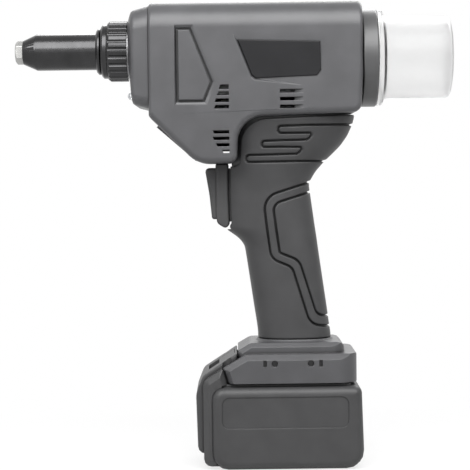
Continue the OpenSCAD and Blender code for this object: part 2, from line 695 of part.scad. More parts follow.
module ball_nut() {
    color("silver") difference() {
        union() {
            rod(journal_r, -49.5, -18.3);
            rod(15, -41, -27);
            spur(nut_teeth, spur_module, 0, gear_front, gear_rear, spindle_z);
        }
        rod(spindle_r + running, -60, -10);
    }
}
module pull_spindle() {
    color("lightgray") turned([[4.3, -104], [7.3, -104], [7.3, -98], [spindle_r, -98], [spindle_r, 12], [4.3, 12]]);
}
module screw_guide() {
    color("black") difference() {
        block([5, 12], [-18.6, 18.6], [spindle_z - 6, spindle_z + 6]);
        rod(spindle_r + 0.02, 0, 20);
    }
    color("black") difference() {
        rod(12, 5, 12);
        rod(spindle_r + 0.02, 0, 20);
    }
}
module jaw_case() {
    color("darkgray") turned([[3.6, -133.6], [9.4, -133.6], [10.5, -132.4], [10.5, -98], [7.32, -98], [7.32, -118],
        [3.6, -132]]);
}
module jaws() {
    color("gray") for (a = [0, 120, 240]) translate([0, 0, spindle_z]) rotate([a, 0, 0]) translate([0, 0, -spindle_z])
        turned([[1.3, jaw_front], [3.9, jaw_front], [7.1, jaw_rear - 1], [4.4, jaw_rear + 1.6],
            [1.3, jaw_rear + 1.6]], angle = 112);
}
module jaw_pusher() {
    color("dimgray") turned([[3.2, jaw_rear + 1.8], [4.4, jaw_rear + 1.8], [7.1, jaw_rear + 2.4], [7.1, -109],
        [5, -109], [5, -106.2], [3.2, -106.2]]);
}
module jaw_spring() {
    color("silver") translate([-108.9, 0, spindle_z]) rotate([0, 90, 0]) coil(6.2, 0.5, 2, 4.7);
}
module mandrel_tube() {
    color("white") tube(4, 3.2, -20, body_rear + 2);
}

// Gear train
module idler_gear() {
    color("silver") difference() {
        spur(idler_teeth, spur_module, idler_turn, gear_front, gear_rear, idler_z);
        rod(3 + running, -50, -20, idler_z);
    }
}
module idler_pin() { color("gray") rod(3, lug_front, lug_rear, idler_z); }
module carrier() {
    color("silver") {
        spur(pinion_teeth, spur_module, pinion_turn, gear_front, gear_rear, motor_z);
        rod(3, lug_front + 0.5, gear_front + 1, motor_z);
        rod(4, gear_rear - 1, -22.5, motor_z);
        rod(12.6, -23.6, -22, motor_z);
        for (a = planet_dirs) rod(1.5, -23, planet_rear, motor_z + orbit_r * sin(a), orbit_r * cos(a));
    }
}
module planet(i) {
    a = planet_dirs[i];
    color("silver") difference() {
        spur(planet_teeth, planet_module, -2 * a, planet_front, planet_rear, motor_z + orbit_r * sin(a),
            orbit_r * cos(a));
        rod(1.5 + running, -30, 0, motor_z + orbit_r * sin(a), orbit_r * cos(a));
    }
}
module planet_gear_1() { planet(0); }
module planet_gear_2() { planet(1); }
module planet_gear_3() { planet(2); }
module ring_gear() {
    color("gray") translate([lug_rear, 0, motor_z]) rotate([90, 0, 90]) linear_extrude(motor_front - lug_rear)
        difference() {
            circle(r = motor_r);
            polygon(ring_space(ring_teeth, planet_module));
        }
}

// Motor
module motor_can() {
    color("darkgray") difference() {
        turned([[2.5 + running, motor_front], [motor_r, motor_front], [motor_r, motor_rear],
            [motor_r - 1.5, motor_rear], [motor_r - 1.5, motor_front + 1.5], [2.5 + running, motor_front + 1.5]], motor_z);
        for (a = [30 : 120 : 270]) translate([0, 0, motor_z]) rotate([a, 0, 0]) block([-10, -3], [-4.5, 4.5], [10, 30]);
    }
}
module motor_magnets() {
    color("black") for (a = [90, 270]) translate([0, 0, motor_z]) rotate([a - 60, 0, 0]) translate([0, 0, -motor_z])
        turned([[12.8, 0], [motor_r - 1.52, 0], [motor_r - 1.52, 32], [12.8, 32]], motor_z, 0, 120);
}
module motor_rotor() {
    color("brown") {
        spur(sun_teeth, planet_module, 15, planet_front, planet_rear, motor_z);
        rod(2.5, planet_rear - 1, motor_rear + 6, motor_z);
        rod(12.2, 2, 30, motor_z);
        rod(6.5, 32, 41, motor_z);
    }
}
module motor_fan() {
    color("white") {
        tube(5, 2.52, -11, -2.4, motor_z);
        tube(15.6, 4.9, -3.6, -2.4, motor_z);
        for (i = [0 : 10]) translate([0, 0, motor_z]) rotate([360 / 11 * i, 0, 0])
            block([-10.4, -3.5], [-0.6, 0.6], [4.8, 15]);
    }
}
module motor_end_cap() {
    color("black") turned([[2.5 + running, 43], [motor_r - 1.55, 43], [motor_r - 1.55, motor_rear], [motor_r, motor_rear],
        [motor_r - 1.5, 48], [2.5 + running, 48]], motor_z);
}

// Trigger and its electrics
module trigger() {
    color("dimgray") {
        pillow([[-17, 168.2, 1.6], [-10.5, 168.2, 3.2], [-10.5, 203.3, 3.2], [-21.6, 203.3, 2.6], [-18.6, 185, 40]],
            9.4, 1.6, 3, 3);
        pillow([[-14.2, 172, 3.2], [-13.6, 165.4, 4], [-7.4, 161.5, 2.4], [-4.9, 165, 2.6], [-5.5, 185, 30],
            [-5.2, skirt_top, 1.8], [-14.2, skirt_top, 1.8]], skirt_half, 1.6, 3, 3);
        // Slide that fills the opening behind, bored for the spring
        difference() {
            block([-8, -0.8], [-9, 9], [166.5, 203]);
            rod(5.4, -4.2, 0, trigger_z);
        }
        rod(2.6, -8, 8.8, trigger_z);
    }
}
module trigger_switch() {
    color("black") difference() {
        block([9.2, 34], [-9.5, 9.5], [166, 203]);
        rod(3, 9, 18, trigger_z);
    }
}
module trigger_spring() {
    color("silver") translate([-4.2, 0, trigger_z]) rotate([0, 90, 0]) coil(4.4, 0.5, 5, 13.2);
}
module control_board() {
    color("green") block([33, 34.6], [-11, 11], [98, 152]);
    color("black") for (z = [106, 122, 138]) block([28.5, 33.2], [-6, 6], [z, z + 9]);
}

// Collector
module collector_ring() {
    color([0.2, 0.2, 0.21]) difference() {
        turned([[20, body_rear], [ring_r - 1, body_rear], [ring_r, body_rear + 1], [ring_r, 95.6], [ring_r - 1, 96.6],
            [neck_bore, 96.6], [neck_bore, 88.4], [20, 88.4]], bottle_z);
        turned([[29.2, 95.4], [31.3, 95.4], [31.3, 98], [29.2, 98]], bottle_z);
    }
}
module collector_seal() {
    color("black") translate([96.1, 0, bottle_z]) rotate([0, 90, 0]) rotate_extrude($fn = 96)
        translate([30.25, 0]) circle(r = 0.7, $fn = 24);
}
module collector_bottle() {
    arc = [for (a = [0 : 15 : 90]) [cos(a), sin(a)]];
    color([0.95, 0.97, 1, 0.4]) turned(concat(
        [[26.2, 88.8], [neck_bore - 0.08, 88.8], [neck_bore - 0.08, 97], [ring_r - 0.8, 97], [ring_r - 0.8, 99.8],
            [ring_r - 1.6, 100.6], [bottle_r + 0.8, 102], [bottle_r, 104]],
        [for (p = arc) [bottle_r - end_r + end_r * p[0], bottle_end - end_r + end_r * p[1]]],
        [[0, bottle_end], [0, bottle_end - bottle_wall]],
        [for (i = [6 : -1 : 0]) [bottle_r - end_r + (end_r - bottle_wall) * arc[i][0],
            bottle_end - end_r + (end_r - bottle_wall) * arc[i][1]]],
        [[bottle_r - bottle_wall, 104]]), bottle_z);
}

// Battery
module pack_steps() {
    pillow(step_corners, foot_half - 0.4, step_chamfer, 1, 3);
    pillow(nose_corners, flange_half - 0.4, nose_edge_r, 2, 3);
}
module pack_form(d) {
    pillow(inset(pack_corners, d), pack_half - d, pack_edge_r - d, 4, 4);
}
module battery_lower_case() {
    color([0.28, 0.28, 0.29]) difference() {
        pack_form(0);
        block([-15.6, pack_rear - 3.6], [-34.4, 34.4], [pack_floor, 46]);
        block([lid_front - slip, lid_rear + slip], [-lid_half - slip, lid_half + slip], [40, 80]);
        // Label field on the shown side, bare
        side_prism(-pack_half - 1, -pack_half + label_depth) polygon(rounded(label_corners, 5));
    }
}
module battery_upper_case() {
    color([0.28, 0.28, 0.29]) difference() {
        union() {
            block([lid_front, lid_rear], [-lid_half, lid_half], [53.4, pack_seam]);
            // Tower with rails
            block([-4, tower_rear], [-rail_half, rail_half], [55, tower_top]);
            block([-4, tower_rear], [-30.6, 30.6], [rail_top + 0.4, rail_room - 0.4]);
            // Front steps, which stand on the lower case and reach down before it
            difference() {
                pack_steps();
                pack_form(-running);
                block([lid_front + 0.3, big], [-big, big], [-big, pack_seam - 0.3]);
                side_prism(-big, big) polygon([[-1.8, 70], [20, 70], [20, 40], [-6.4, 40]]);
            }
        }
        // Inside of the lid and tower
        block([lid_front + 3, lid_rear - 3], [-lid_half + 3, lid_half - 3], [50, 54.6]);
        block([6, tower_rear - 3], [-rail_half + 3, rail_half - 3], [50, 68]);
        // Slots for the tool's blades
        for (y = blade_y) block([30, 80], [y - 1.6, y + 1.6], [60, 80]);
        // Pocket for the latch, open in front for a finger
        side_prism(-latch_half - 0.4, latch_half + 0.4)
            polygon([[-20.6, 61], [-14, 61], [-13, latch_floor], [-2.8, latch_floor], [-2.8, 90], [-20.6, 90]]);
        for (p = lid_screws) {
            translate([p[0], p[1], 40]) cylinder(r = 1.6, h = 40);
            translate([p[0], p[1], 55.6]) cylinder(r = 3.2, h = 40);
        }
    }
}
module battery_cells() {
    color("royalblue") for (i = [0 : 4], z = [pack_floor + 0.3 + cell_r, pack_floor + 0.7 + 3 * cell_r])
        cross_rod(cell_r, -6.2 + 18.5 * i, z, -cell_l / 2, cell_l / 2);
}
module cell_holder() {
    color("black") {
        block([-14, 76.4], [-30, 30], [40.6, 42.6]);
        for (p = lid_screws) translate([p[0], p[1], 42]) difference() {
            cylinder(r = 3.4, h = 11.2);
            cylinder(r = 1.3, h = 20);
        }
    }
}
module battery_board() {
    color("green") block([4, 66], [-21, 21], [45, 46.6]);
}
module battery_contacts() {
    color("gold") for (y = blade_y, s = [-1, 1])
        block([34, 46], y + s * 1.2 > y ? [y + 0.6, y + 1.3] : [y - 1.3, y - 0.6], [46.6, 67]);
}
module latch_button() {
    color([0.3, 0.3, 0.31]) difference() {
        intersection() {
            pillow(inset(nose_corners, running), flange_half - 0.4 - running, nose_edge_r, 2, 3);
            block([-13.4, -3.2], [-latch_half, latch_half], [68.8, 90]);
        }
        translate([latch_x, 0, 60]) cylinder(r = 3.8, h = 10);
    }
}
module latch_spring() {
    color("silver") translate([latch_x, 0, latch_floor + 0.1]) coil(3, 0.5, 4, 5.8);
}
module battery_screws() {
    color("silver") for (p = lid_screws) translate([p[0], p[1], 0]) {
        translate([0, 0, 55.6]) cylinder(r = 2.9, h = 2);
        translate([0, 0, 46]) cylinder(r = 1.3, h = 10);
    }
}
// Terminals in the foot
module terminal_block() {
    color("black") block([tower_rear + 1, foot_rear - 3.6], [-23, 23], [59, foot_roof - 0.3]);
}
module terminal_blades() {
    color("gold") for (y = blade_y) block([36, tower_rear + 1], [y - 0.5, y + 0.5], [61.5, 66]);
}

left_housing();
right_housing();
left_grip();
right_grip();
front_cap();
left_side_panel();
right_side_panel();
name_plate();
housing_screws();
work_light();
nosepiece();
nose_sleeve();
sleeve_collar();
nose_nut();
gear_frame();
frame_cover();
front_bearing();
rear_bearing();
ball_nut();
pull_spindle();
screw_guide();
jaw_case();
jaws();
jaw_pusher();
jaw_spring();
mandrel_tube();
idler_gear();
idler_pin();
carrier();
planet_gear_1();
planet_gear_2();
planet_gear_3();
ring_gear();
motor_can();
motor_magnets();
motor_rotor();
motor_fan();
motor_end_cap();
trigger();
trigger_switch();
trigger_spring();
control_board();
terminal_block();
terminal_blades();
collector_ring();
collector_seal();
collector_bottle();
battery_lower_case();
battery_upper_case();
battery_cells();
cell_holder();
battery_board();
battery_contacts();
latch_button();
latch_spring();
battery_screws();
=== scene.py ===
import math

import bmesh
import bpy
import numpy as np
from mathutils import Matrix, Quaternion, Vector


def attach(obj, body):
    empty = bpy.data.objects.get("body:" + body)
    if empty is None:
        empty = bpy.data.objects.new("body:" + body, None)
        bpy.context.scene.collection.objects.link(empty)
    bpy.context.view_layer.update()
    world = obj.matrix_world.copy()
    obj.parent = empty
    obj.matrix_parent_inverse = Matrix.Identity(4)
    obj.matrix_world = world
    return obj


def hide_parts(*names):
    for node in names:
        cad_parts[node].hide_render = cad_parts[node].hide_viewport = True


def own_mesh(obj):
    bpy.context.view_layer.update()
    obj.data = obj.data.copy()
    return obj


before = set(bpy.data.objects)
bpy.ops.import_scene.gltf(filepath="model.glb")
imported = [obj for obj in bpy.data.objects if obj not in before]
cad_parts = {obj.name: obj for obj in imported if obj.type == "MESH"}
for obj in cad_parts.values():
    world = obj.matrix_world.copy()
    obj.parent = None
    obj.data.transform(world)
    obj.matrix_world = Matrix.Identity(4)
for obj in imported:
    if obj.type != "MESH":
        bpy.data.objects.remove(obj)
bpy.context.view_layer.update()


# Cast frame and cover: the two light alloy castings that carry the pull mechanism inside the barrel.
# Pressure cast, left as they come from the die, with the bores for the bearings machined bright.
def new_finish(name):
    finish = bpy.data.materials.new(name)
    finish.use_nodes = True
    return finish, finish.node_tree.nodes, finish.node_tree.links, finish.node_tree.nodes["Principled BSDF"]


def speckle(nodes, links, size, detail=2.0, stretch=(1, 1, 1)):
    """Noise whose grains are about size metres across, drawn out along an axis by a small stretch value."""
    place = nodes.new("ShaderNodeTexCoord")
    spread = nodes.new("ShaderNodeMapping")
    spread.inputs["Scale"].default_value = stretch
    noise = nodes.new("ShaderNodeTexNoise")
    noise.inputs["Scale"].default_value = 1 / size
    noise.inputs["Detail"].default_value = detail
    links.new(place.outputs["Object"], spread.inputs["Vector"])
    links.new(spread.outputs["Vector"], noise.inputs["Vector"])
    return noise.outputs["Fac"]


def ranged(nodes, links, value, low, high, start=0.3, stop=0.7):
    """Spreads what lies from start to stop, as most of a noise does by default, over low to high."""
    spread = nodes.new("ShaderNodeMapRange")
    spread.inputs["From Min"].default_value = start
    spread.inputs["From Max"].default_value = stop
    spread.inputs["To Min"].default_value = low
    spread.inputs["To Max"].default_value = high
    links.new(value, spread.inputs["Value"])
    return spread.outputs["Result"]


def tinted(nodes, links, value, dark, light):
    blend = nodes.new("ShaderNodeMix")
    blend.data_type = "RGBA"
    links.new(ranged(nodes, links, value, 0, 1), blend.inputs["Factor"])
    blend.inputs["A"].default_value = (*dark, 1)
    blend.inputs["B"].default_value = (*light, 1)
    return blend.outputs["Result"]


def relief(nodes, links, value, depth, base=None):
    bump = nodes.new("ShaderNodeBump")
    bump.inputs["Distance"].default_value = depth
    links.new(value, bump.inputs["Height"])
    if base is not None:
        links.new(base, bump.inputs["Normal"])
    return bump.outputs["Normal"]


def shade(colour, factor):
    return tuple(c * factor for c in colour)


def metal(name, colour, rough, grain=0.0006, depth=0.00001, stretch=(1, 1, 1)):
    finish, nodes, links, skin = new_finish(name)
    skin.inputs["Metallic"].default_value = 1.0
    lines = speckle(nodes, links, grain, detail=3, stretch=stretch)
    cloud = speckle(nodes, links, size=0.012)
    links.new(tinted(nodes, links, cloud, shade(colour, 0.86), shade(colour, 1.1)), skin.inputs["Base Color"])
    links.new(ranged(nodes, links, lines, rough - 0.06, rough + 0.08), skin.inputs["Roughness"])
    links.new(relief(nodes, links, lines, depth), skin.inputs["Normal"])
    return finish


def crisp_edges(limit):
    """Geometry nodes that mark every edge sharper than a limit, so that only true edges break the shading."""
    rule = bpy.data.node_groups.new("crisp_edges", "GeometryNodeTree")
    rule.interface.new_socket("Geometry", in_out="INPUT", socket_type="NodeSocketGeometry")
    rule.interface.new_socket("Geometry", in_out="OUTPUT", socket_type="NodeSocketGeometry")
    entry = rule.nodes.new("NodeGroupInput")
    leave = rule.nodes.new("NodeGroupOutput")
    angle = rule.nodes.new("GeometryNodeInputMeshEdgeAngle")
    sharp = rule.nodes.new("FunctionNodeCompare")
    sharp.data_type = "FLOAT"
    sharp.operation = "GREATER_THAN"
    sharp.inputs["B"].default_value = limit
    mark = rule.nodes.new("GeometryNodeSetShadeSmooth")
    mark.domain = "EDGE"
    mark.inputs["Shade Smooth"].default_value = False
    rule.links.new(entry.outputs["Geometry"], mark.inputs["Geometry"])
    rule.links.new(angle.outputs["Unsigned Angle"], sharp.inputs["A"])
    rule.links.new(sharp.outputs["Result"], mark.inputs["Selection"])
    rule.links.new(mark.outputs["Geometry"], leave.inputs["Geometry"])
    return rule


CRISP_ANGLE = 31
ROUND_ANGLE = 36
FLAT_ANGLE = 0.6
WELD_GAP = 2e-6
crisp = crisp_edges(math.radians(CRISP_ANGLE))


def drop_stored_normals(mesh):
    """Lets a mesh shade by its own form."""
    normals = mesh.attributes.get("custom_normal")
    if normals:
        mesh.attributes.remove(normals)
    mesh.shade_smooth()


def dress(finish, *nodes, edge=0.0):
    """Gives solids their finish and even shading, and a small round on sharp edges where a size is given."""
    for name in nodes:
        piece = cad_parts[name]
        piece.data.materials.clear()
        piece.data.materials.append(finish)
        drop_stored_normals(piece.data)
        seam = piece.modifiers.new("seam", "WELD")
        seam.merge_threshold = WELD_GAP
        flats = piece.modifiers.new("flats", "DECIMATE")
        flats.decimate_type = "DISSOLVE"
        flats.angle_limit = math.radians(FLAT_ANGLE)
        if edge:
            rounds = piece.modifiers.new("rounds", "BEVEL")
            rounds.width = edge
            rounds.segments = 2
            rounds.limit_method = "ANGLE"
            rounds.angle_limit = math.radians(ROUND_ANGLE)
            rounds.use_clamp_overlap = False
            rounds.miter_outer = "MITER_ARC"
        marks = piece.modifiers.new("marks", "NODES")
        marks.node_group = crisp
        even = piece.modifiers.new("even", "WEIGHTED_NORMAL")
        even.weight = 60
        even.keep_sharp = True


cast_alloy = metal("cast_alloy", (0.56, 0.56, 0.57), rough=0.5, grain=0.0009, depth=0.00004)
dress(cast_alloy, "gear_frame", "frame_cover", edge=0.0003)


# Bearings, gears and pins: hardened steel, ground on the working faces, with a thin film of grease.
# The ball nut, idler, carrier and planets turn together, and every one is cut from bar.
gear_steel = metal("gear_steel", (0.42, 0.41, 0.4), rough=0.3, grain=0.0004, depth=0.000006)
dress(gear_steel, "front_bearing", "rear_bearing", "ball_nut", "idler_gear", "idler_pin", "carrier",
      "planet_gear_1", "planet_gear_2", "planet_gear_3", "ring_gear", edge=0.00015)


# Pull spindle, jaws and their case: turned and ground steel parts on the tool's long axis.
# The spindle runs in the ball nut and carries the case with three jaws at its front.
LATHE_LINES = (0.1, 1, 1)
bright_steel = metal("bright_steel", (0.4, 0.4, 0.39), rough=0.28, grain=0.0003, depth=0.000004,
                     stretch=LATHE_LINES)
dress(bright_steel, "pull_spindle", "jaw_case", "jaws", "jaw_pusher", edge=0.0002)


# Springs: round spring wire, drawn bright.
# Each sits between a fixed seat and a moving one, so it shortens as that piece travels.
spring_steel = metal("spring_steel", (0.5, 0.49, 0.47), rough=0.25, grain=0.0002, depth=0.000003)


def placed(name, form):
    """Turns a finished form into an object of the scene."""
    mesh = bpy.data.meshes.new(name)
    form.to_mesh(mesh)
    form.free()
    piece = bpy.data.objects.new(name, mesh)
    bpy.context.scene.collection.objects.link(piece)
    return piece


def spring(name, node, body):
    form = bmesh.new()
    form.from_mesh(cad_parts[node].data)
    bmesh.ops.remove_doubles(form, verts=form.verts[:], dist=WELD_GAP)
    wire = placed(name, form)
    wire.data.materials.append(spring_steel)
    drop_stored_normals(wire.data)
    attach(wire, body)
    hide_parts(node)
    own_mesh(wire)


spring("jaw_spring_wire", "jaw_spring", "pull")
spring("trigger_spring_wire", "trigger_spring", "tool")
spring("latch_spring_wire", "latch_spring", "battery")


# Motor: a drawn steel can with two bent magnets, a wound rotor and a fan, closed by a moulded end cap.
# It lies in the belly, below the spindle, and drives the gears in front of it.
motor_steel = metal("motor_steel", (0.36, 0.36, 0.37), rough=0.34, grain=0.0003, depth=0.000006,
                    stretch=(0.15, 1, 1))
dress(motor_steel, "motor_can", edge=0.0003)
magnet = metal("magnet", (0.09, 0.09, 0.095), rough=0.55, grain=0.0004, depth=0.00002)
dress(magnet, "motor_magnets", edge=0.0003)
winding = metal("winding", (0.62, 0.24, 0.09), rough=0.35, grain=0.0008, depth=0.00012,
                stretch=(0.05, 1, 1))
dress(winding, "motor_rotor", edge=0.0002)


# Electrics and inner mouldings: switch, terminals, boards, fan, guide and tube.
# They are plastic, green laminate and brass, most of them clipped into the shells or the battery case.
# Little of them shows from outside.
MOTTLE = 0.12
EDGE_SOFTNESS = 0.0008
# Painted shade: how far ambient occlusion reaches and how dark moulded colours are painted in grooves and
# nooks.
NOOK_REACH = 0.003
NOOK_CLOSED = 0.4
NOOK_OPEN = 0.88
NOOK_SHADE = 0.06


def moulded(name, colour, rough, grain=0.00035, depth=0.00003, gloss=0.5):
    """Moulded plastic: spark grain, edges that catch the light, and painted shade that darkens the colour in
    grooves and nooks.
    """
    finish, nodes, links, skin = new_finish(name)
    skin.inputs["Specular IOR Level"].default_value = gloss
    spark = speckle(nodes, links, grain)
    cloud = speckle(nodes, links, size=0.018)
    tint = tinted(nodes, links, cloud, shade(colour, 1 - MOTTLE), shade(colour, 1 + MOTTLE))
    # Painted shade: the base colour is multiplied darker where ambient occlusion finds a groove, recess or
    # nook.
    nook = nodes.new("ShaderNodeAmbientOcclusion")
    nook.samples = 8
    nook.inputs["Distance"].default_value = NOOK_REACH
    painted_shade_factor = ranged(nodes, links, nook.outputs["AO"], NOOK_SHADE, 1, NOOK_CLOSED, NOOK_OPEN)
    painted_nook_shade = nodes.new("ShaderNodeMix")
    painted_nook_shade.data_type = "RGBA"
    painted_nook_shade.blend_type = "MULTIPLY"
    painted_nook_shade.inputs["Factor"].default_value = 1.0
    links.new(tint, painted_nook_shade.inputs["A"])
    links.new(painted_shade_factor, painted_nook_shade.inputs["B"])
    links.new(painted_nook_shade.outputs["Result"], skin.inputs["Base Color"])
    links.new(ranged(nodes, links, spark, rough - 0.05, rough + 0.06), skin.inputs["Roughness"])
    soft = nodes.new("ShaderNodeBevel")
    soft.samples = 6
    soft.inputs["Radius"].default_value = EDGE_SOFTNESS
    links.new(relief(nodes, links, spark, depth, soft.outputs["Normal"]), skin.inputs["Normal"])
    return finish


black_plastic = moulded("black_plastic", (0.018, 0.018, 0.019), rough=0.45)
dress(black_plastic, "motor_end_cap", "trigger_switch", "terminal_block", "screw_guide", "cell_holder")
tube_plastic = moulded("tube_plastic", (0.7, 0.69, 0.65), rough=0.4)
dress(tube_plastic, "mandrel_tube", "motor_fan", edge=0.0002)
board_green = moulded("board", (0.012, 0.09, 0.035), rough=0.35, grain=0.0012, depth=0.00002)
dress(board_green, "control_board", "battery_board", edge=0.0002)
contact_brass = metal("contact_brass", (0.72, 0.5, 0.2), rough=0.25)
dress(contact_brass, "terminal_blades", "battery_contacts", edge=0.00015)


# Half shells, side panels and front cap: moulded in dark grey glass filled plastic.
# The mould leaves a fine spark grain on them, and seven screws from the hidden side hold the shells together.
shell_plastic = moulded("shell_plastic", (0.046, 0.046, 0.049), rough=0.38, grain=0.0004, depth=0.00004)
dress(shell_plastic, "left_housing", "right_housing", "left_side_panel", "right_side_panel", "front_cap")
screw_steel = metal("screw_steel", (0.1, 0.1, 0.105), rough=0.35)
dress(screw_steel, "housing_screws", "battery_screws", edge=0.0002)


# Grips: soft rubber skins moulded over the handle core, one on each half, meeting at the split.
# Grooves run round the neck like a meander and frame a band down the back.
# The hidden side has two screw holes.
MM = 0.001
HANDLE_FULLNESS = 2.6
MIDDLING_REACH = 26
MIDDLING_SIDE = 20
SECTION_TAPS = (-1.6, -0.8, 0, 0.8, 1.6)
SKIN_THICK = 2.4
GROOVE_HALF = 0.65
GROOVE_DEEP = 1.8
LIP_DROP = 0.5
SKIN_LOW = 86.4
SKIN_HIGH = 239.4
handle_rows = np.array([
    (83, 13.6, 64, 20.9), (88.5, 13.7, 63.6, 20.4), (92, 13.5, 63.2, 20.1), (96, 13, 62.6, 19.9),
    (110, 10.9, 60.8, 19.4), (125, 8.8, 58.7, 19), (141, 6.5, 56.5, 18.8), (150, 5.1, 55.3, 18.8),
    (154.9, 1.4, 54.7, 18.9), (159.1, -4.3, 54.1, 19), (161.6, -8.2, 53.7, 19.1), (170, -8.6, 52.6, 19.2),
    (187, -8.9, 50.3, 19.6), (192, -8.9, 49.7, 20), (199.7, -9, 54.2, 21.2), (206.9, -9, 60.6, 22.8),
    (211.3, -9, 65.4, 24.2), (217.4, -9, 71.6, 26), (224.2, -9, 76.5, 27.8), (231, -9, 79.6, 29.2),
    (236, -9, 81.2, 30), (240.5, -9, 81.6, 30.4), (246, -9, 81.8, 30.6)])
meander = [(95, 231.9, 0), (28.2, 230.8, 2.2), (28.2, 226, 2.2), (52.6, 226, 1.2), (48.2, 221.5, 2.6),
           (17.2, 220.9, 1.8), (17.2, 216.9, 1.8), (46, 216.6, 1.2), (41.4, 212, 2.6), (6.4, 211.6, 2.1),
           (6.4, 207, 2.1), (95, 207.3, 0)]
band_outer = [(75, 200.6, 0), (17.8, 182.9, 11.6), (22.8, 141.2, 8.5), (37.2, 135.2, 7), (49.1, 96.4, 10),
              (80, 91, 0)]
band_inner = [(75, 193.6, 0), (24.5, 178.3, 6.3), (28.7, 145.2, 1.6), (42.2, 139.8, 10), (53.8, 102.7, 6),
              (80, 97.5, 0)]
skin_outline = [(-20, SKIN_LOW, 0), (95, SKIN_LOW, 0), (95, 238.2, 0), (79, 238.2, 0), (32, 236, 20),
                (3.6, 235.2, 17), (2.2, 204.4, 4), (-4.4, 204.1, 0), (-4.7, 184.9, 0), (-4, 167.5, 0),
                (-4.4, 164.5, 0), (-6.9, 161.2, 0), (-20, 159.4, 0)]
grip_screws = [(55, 226.5), (46, 128)]
GRIP_SCREW_R = 3.5
SHEET_ACROSS = 56
SHEET_UP = 96
REFINED = (2.4, 1.5)
SNAP = 0.9
SPLIT_SHARE = 1e-4
GROOVE_EASE = 0.3
LIP_REACH = 0.9


def eased(corners, closed=False, steps=8):
    """A line through corners (x, z, radius) whose corners are true arcs."""
    points = []
    count = len(corners)
    for i, (x, z, radius) in enumerate(corners):
        here = np.array((x, z), float)
        if radius == 0 or (not closed and i in (0, count - 1)):
            points.append(here)
            continue
        before = np.array(corners[i - 1][:2]) - here
        after = np.array(corners[(i + 1) % count][:2]) - here
        before /= np.linalg.norm(before)
        after /= np.linalg.norm(after)
        half = math.acos(np.clip(before @ after, -1, 1)) / 2
        middle = before + after
        centre = here + middle / np.linalg.norm(middle) * radius / math.sin(half)
        start = here + before * radius / math.tan(half) - centre
        stop = here + after * radius / math.tan(half) - centre
        first = math.atan2(start[1], start[0])
        sweep = (math.atan2(stop[1], stop[0]) - first + math.pi) % math.tau - math.pi
        for k in range(steps + 1):
            turn = first + sweep * k / steps
            points.append(centre + radius * np.array((math.cos(turn), math.sin(turn))))
    if closed:
        points.append(points[0])
    return np.array(points)


def nearest(points, line):
    """Closest place on a line for each point, and how far away it is."""
    best = np.full(len(points), 1e9)
    place = np.zeros((len(points), 2))
    for a, b in zip(line[:-1], line[1:]):
        along = b - a
        share = np.clip((points - a) @ along / max(along @ along, 1e-9), 0, 1)
        spot = a + share[:, None] * along
        gap = np.linalg.norm(points - spot, axis=1)
        closer = gap < best
        best[closer] = gap[closer]
        place[closer] = spot[closer]
    return place, best


def within(points, line):
    inside = np.zeros(len(points), bool)
    x, z = points.T
    for (ax, az), (bx, bz) in zip(line[:-1], line[1:]):
        crosses = (az > z) != (bz > z)
        if az != bz:
            inside ^= crosses & (x < ax + (z - az) / (bz - az) * (bx - ax))
    return inside


def handle_section(height):
    """Front edge, back edge and half width at a height, eased a little between the drawn sections."""
    taps = np.asarray(height)[..., None] + np.array(SECTION_TAPS)
    return [np.interp(taps, handle_rows[:, 0], handle_rows[:, k]).mean(axis=-1) for k in (1, 2, 3)]


def section_round(turn):
    """Place on a handle section of unit size, at a turn from its front edge round to its back edge."""
    power = 2 / HANDLE_FULLNESS
    cosine, sine = -np.cos(turn), np.sin(turn)
    return np.sign(cosine) * np.abs(cosine) ** power, np.maximum(sine, 0) ** power


sweep_turns = np.linspace(0, math.pi, 2001)
round_x, round_y = section_round(sweep_turns)
walk = np.hypot(np.diff(round_x * MIDDLING_REACH), np.diff(round_y * MIDDLING_SIDE))
walked = np.concatenate(([0], np.cumsum(walk)))
even_shares = walked / walked[-1]


def handle_point(share, height, inward):
    """Point of the handle's half, at a share of the way from front to back, drawn in by a depth."""
    front, back, half = handle_section(height)
    middle, reach, side = (front + back) / 2, (back - front) / 2 - inward, half - inward
    along, out = section_round(np.interp(share, even_shares, sweep_turns))
    return np.stack((middle + reach * along, -side * out, height), axis=-1)


def side_view(share, height):
    return handle_point(share, height, 0)[:, [0, 2]]


